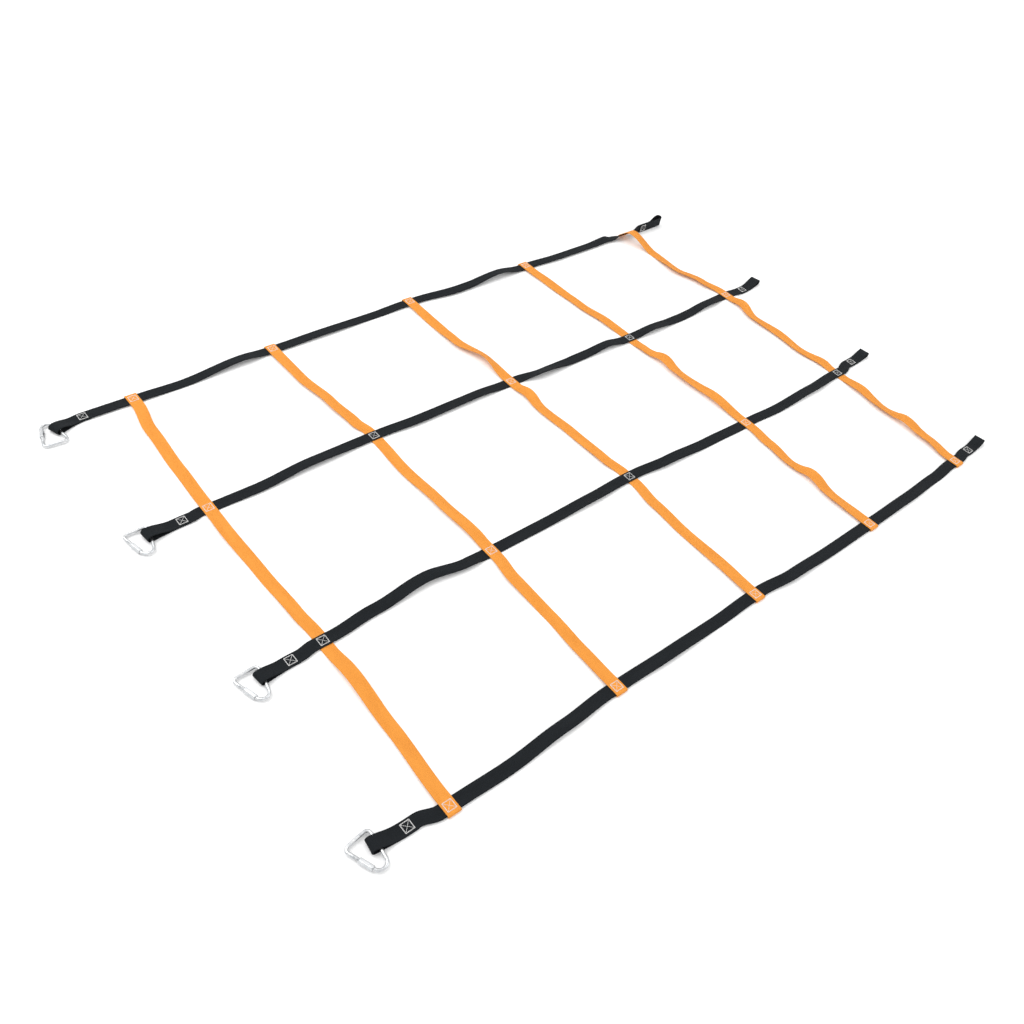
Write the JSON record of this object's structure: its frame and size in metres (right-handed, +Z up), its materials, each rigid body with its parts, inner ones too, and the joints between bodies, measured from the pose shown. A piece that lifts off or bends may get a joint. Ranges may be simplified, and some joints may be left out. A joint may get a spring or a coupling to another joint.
{
  "type": "webbing ladder net",
  "caption": "Flat webbing ladder net: black uprights with sewn end eyes, orange rungs sewn across, triangular screw links at the hanging end.",
  "frame": {"origin": "on the ground, under the middle of the net's bounding box", "axes": "+X along the uprights from the hanging links to the lower eyes, +Y along the rungs from upright d to upright a, +Z up, with the net lying flat"},
  "size_m": [1.7893, 1.1475, 0.0297],
  "materials": {
    "black_webbing": "woven polyester webbing, matt",
    "orange_webbing": "woven polyester webbing, matt",
    "thread": "white bonded thread",
    "zinc_steel": "bright zinc plated"
  },
  "bodies": {
    "net": {"upright_a": "black_webbing", "upright_b": "black_webbing", "upright_c": "black_webbing", "upright_d": "black_webbing", "rung_1": "orange_webbing", "rung_2": "orange_webbing", "rung_3": "orange_webbing", "rung_4": "orange_webbing", "rung_5": "orange_webbing", "crossing_stitch_a1": "thread", "crossing_stitch_a2": "thread", "crossing_stitch_a3": "thread", "crossing_stitch_a4": "thread", "crossing_stitch_a5": "thread", "crossing_stitch_b1": "thread", "crossing_stitch_b2": "thread", "crossing_stitch_b3": "thread", "crossing_stitch_b4": "thread", "crossing_stitch_b5": "thread", "crossing_stitch_c1": "thread", "crossing_stitch_c2": "thread", "crossing_stitch_c3": "thread", "crossing_stitch_c4": "thread", "crossing_stitch_c5": "thread", "crossing_stitch_d1": "thread", "crossing_stitch_d2": "thread", "crossing_stitch_d3": "thread", "crossing_stitch_d4": "thread", "crossing_stitch_d5": "thread", "top_eye_stitch_a": "thread", "top_eye_stitch_b": "thread", "top_eye_stitch_c": "thread", "top_eye_stitch_d": "thread", "bottom_eye_stitch_a": "thread", "bottom_eye_stitch_b": "thread", "bottom_eye_stitch_c": "thread", "bottom_eye_stitch_d": "thread"},
    "link_a": {"link_a": "zinc_steel"},
    "sleeve_a": {"link_sleeve_a": "zinc_steel"},
    "link_b": {"link_b": "zinc_steel"},
    "sleeve_b": {"link_sleeve_b": "zinc_steel"},
    "link_c": {"link_c": "zinc_steel"},
    "sleeve_c": {"link_sleeve_c": "zinc_steel"},
    "link_d": {"link_d": "zinc_steel"},
    "sleeve_d": {"link_sleeve_d": "zinc_steel"}
  },
  "joints": [
    {"name": "link_a_swing", "type": "hinge", "parent": "net", "child": "link_a", "pos_m": [-0.8528, 0.5292, 0.0054], "axis": [-0.1736, 0.9848, 0], "range_deg": [-130, 135]},
    {"name": "sleeve_a_travel", "type": "slide", "parent": "link_a", "child": "sleeve_a", "axis": [-0.2886, -0.9574, -0.011], "range_m": [0, 0.012]},
    {"name": "link_b_swing", "type": "hinge", "parent": "net", "child": "link_b", "pos_m": [-0.8304, 0.1835, 0.0054], "axis": [0.2588, 0.9659, 0], "range_deg": [-130, 135]},
    {"name": "sleeve_b_travel", "type": "slide", "parent": "link_b", "child": "sleeve_b", "axis": [-0.204, 0.9789, -0.011], "range_m": [0, 0.012]},
    {"name": "link_c_swing", "type": "hinge", "parent": "net", "child": "link_c", "pos_m": [-0.8216, -0.1914, 0.0054], "axis": [0.1736, 0.9848, 0], "range_deg": [-130, 135]},
    {"name": "sleeve_c_travel", "type": "slide", "parent": "link_c", "child": "sleeve_c", "axis": [-0.2886, 0.9574, -0.011], "range_m": [0, 0.012]},
    {"name": "link_d_swing", "type": "hinge", "parent": "net", "child": "link_d", "pos_m": [-0.8336, -0.533, 0.0054], "axis": [0.0872, 0.9962, 0], "range_deg": [-130, 135]},
    {"name": "sleeve_d_travel", "type": "slide", "parent": "link_d", "child": "sleeve_d", "axis": [-0.3709, 0.9286, -0.011], "range_m": [0, 0.012]}
  ]
}
